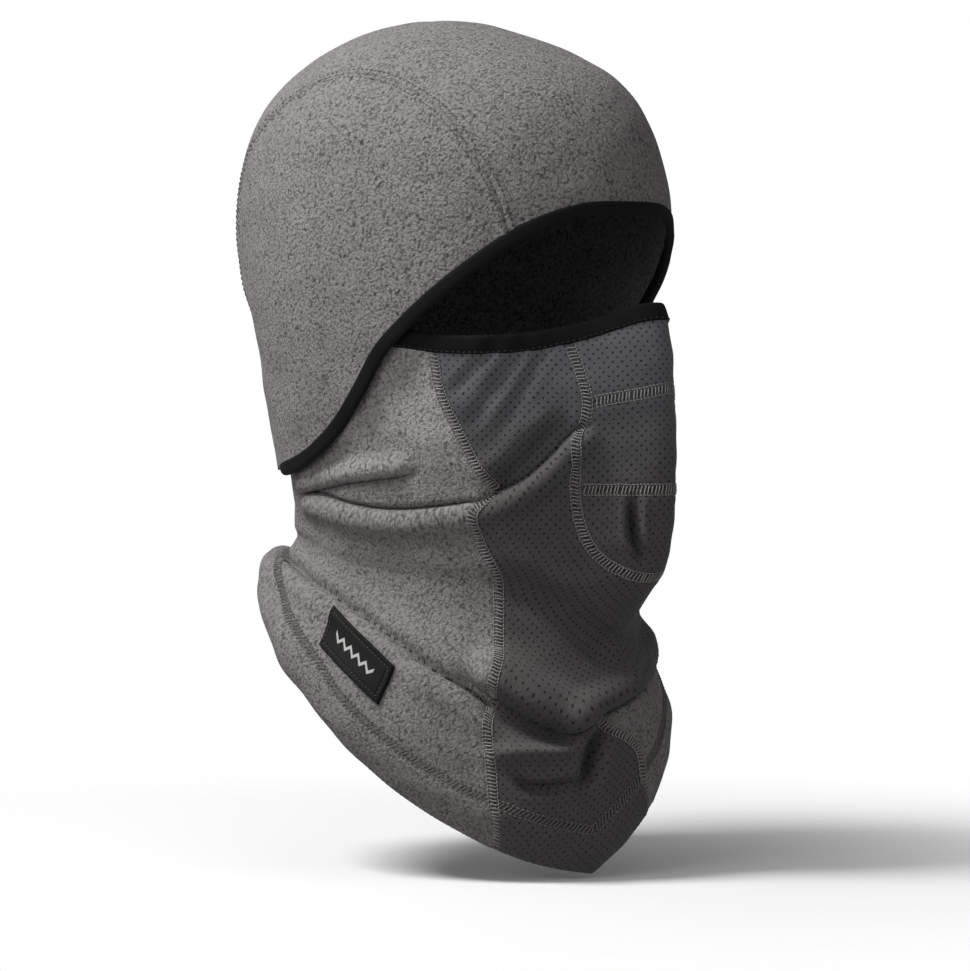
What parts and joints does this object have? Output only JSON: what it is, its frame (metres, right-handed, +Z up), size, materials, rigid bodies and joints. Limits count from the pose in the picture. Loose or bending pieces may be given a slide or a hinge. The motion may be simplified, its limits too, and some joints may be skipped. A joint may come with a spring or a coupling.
{
  "type": "hinged balaclava",
  "caption": "Hinged cold-weather balaclava: fleece hood sewn at the nape to a neck gaiter with a pull-down face mask and a perforated front.",
  "frame": {"origin": "midway between the wearer's ears, the middle of the head that fills the hood", "axes": "+Z up, the wearer faces -Y, the wearer's left is +X; the joints turn about X through the nape"},
  "size_m": [0.1719, 0.2249, 0.3611],
  "materials": {
    "hood_fleece": "short-pile brushed grey fleece",
    "neck_fleece": "short-pile brushed grey fleece, slightly stretched",
    "perforated_knit": "smooth dark stretch knit with small staggered holes",
    "mouth_knit": "smooth dark stretch knit with small staggered holes, moulded over nose and chin",
    "elastic_binding": "folded black elastic binding, fine ribbed weave",
    "seam_thread": "light grey flatlock ladder stitching",
    "fleece_thread": "grey coverstitching, half sunk in the pile",
    "binding_thread": "dark topstitching",
    "woven_label": "black satin-woven label with a plain pale zigzag",
    "label_thread": "fine dashed sewing line"
  },
  "bodies": {
    "collar": {"neck_panel_right": "neck_fleece", "neck_panel_left": "neck_fleece", "back_seam_stitch": "fleece_thread", "front_panel": "perforated_knit", "front_seam_stitch_right": "seam_thread", "front_seam_stitch_left": "seam_thread", "hem_stitch": "fleece_thread", "collar_label": "woven_label", "label_stitch": "label_thread"},
    "mask": {"mouth_panel_upper": "mouth_knit", "mouth_panel_middle": "mouth_knit", "mouth_panel_lower": "mouth_knit", "mouth_seam_upper": "seam_thread", "mouth_seam_lower": "seam_thread", "mouth_outline_stitch": "seam_thread", "mask_edge_binding": "elastic_binding", "mask_binding_stitch": "binding_thread"},
    "hood": {"hood_centre_panel": "hood_fleece", "hood_side_panel_right": "hood_fleece", "hood_side_panel_left": "hood_fleece", "hood_seam_stitch_right": "fleece_thread", "hood_seam_stitch_left": "fleece_thread", "nape_seam_stitch": "fleece_thread", "hood_edge_binding": "elastic_binding"}
  },
  "joints": [
    {"name": "mask_pull_down", "type": "hinge", "parent": "collar", "child": "mask", "pos_m": [0, 0.052, -0.062], "axis": [1, 0, 0], "range_deg": [0, 35], "deforming": ["front_panel", "neck_panel_right", "neck_panel_left", "front_seam_stitch_right", "front_seam_stitch_left", "mask_edge_binding", "mask_binding_stitch"]},
    {"name": "hood_push_back", "type": "hinge", "parent": "collar", "child": "hood", "pos_m": [0, 0.08, -0.062], "axis": [-1, 0, 0], "range_deg": [0, 75], "deforming": ["hood_side_panel_right", "hood_side_panel_left", "hood_edge_binding"]}
  ]
}
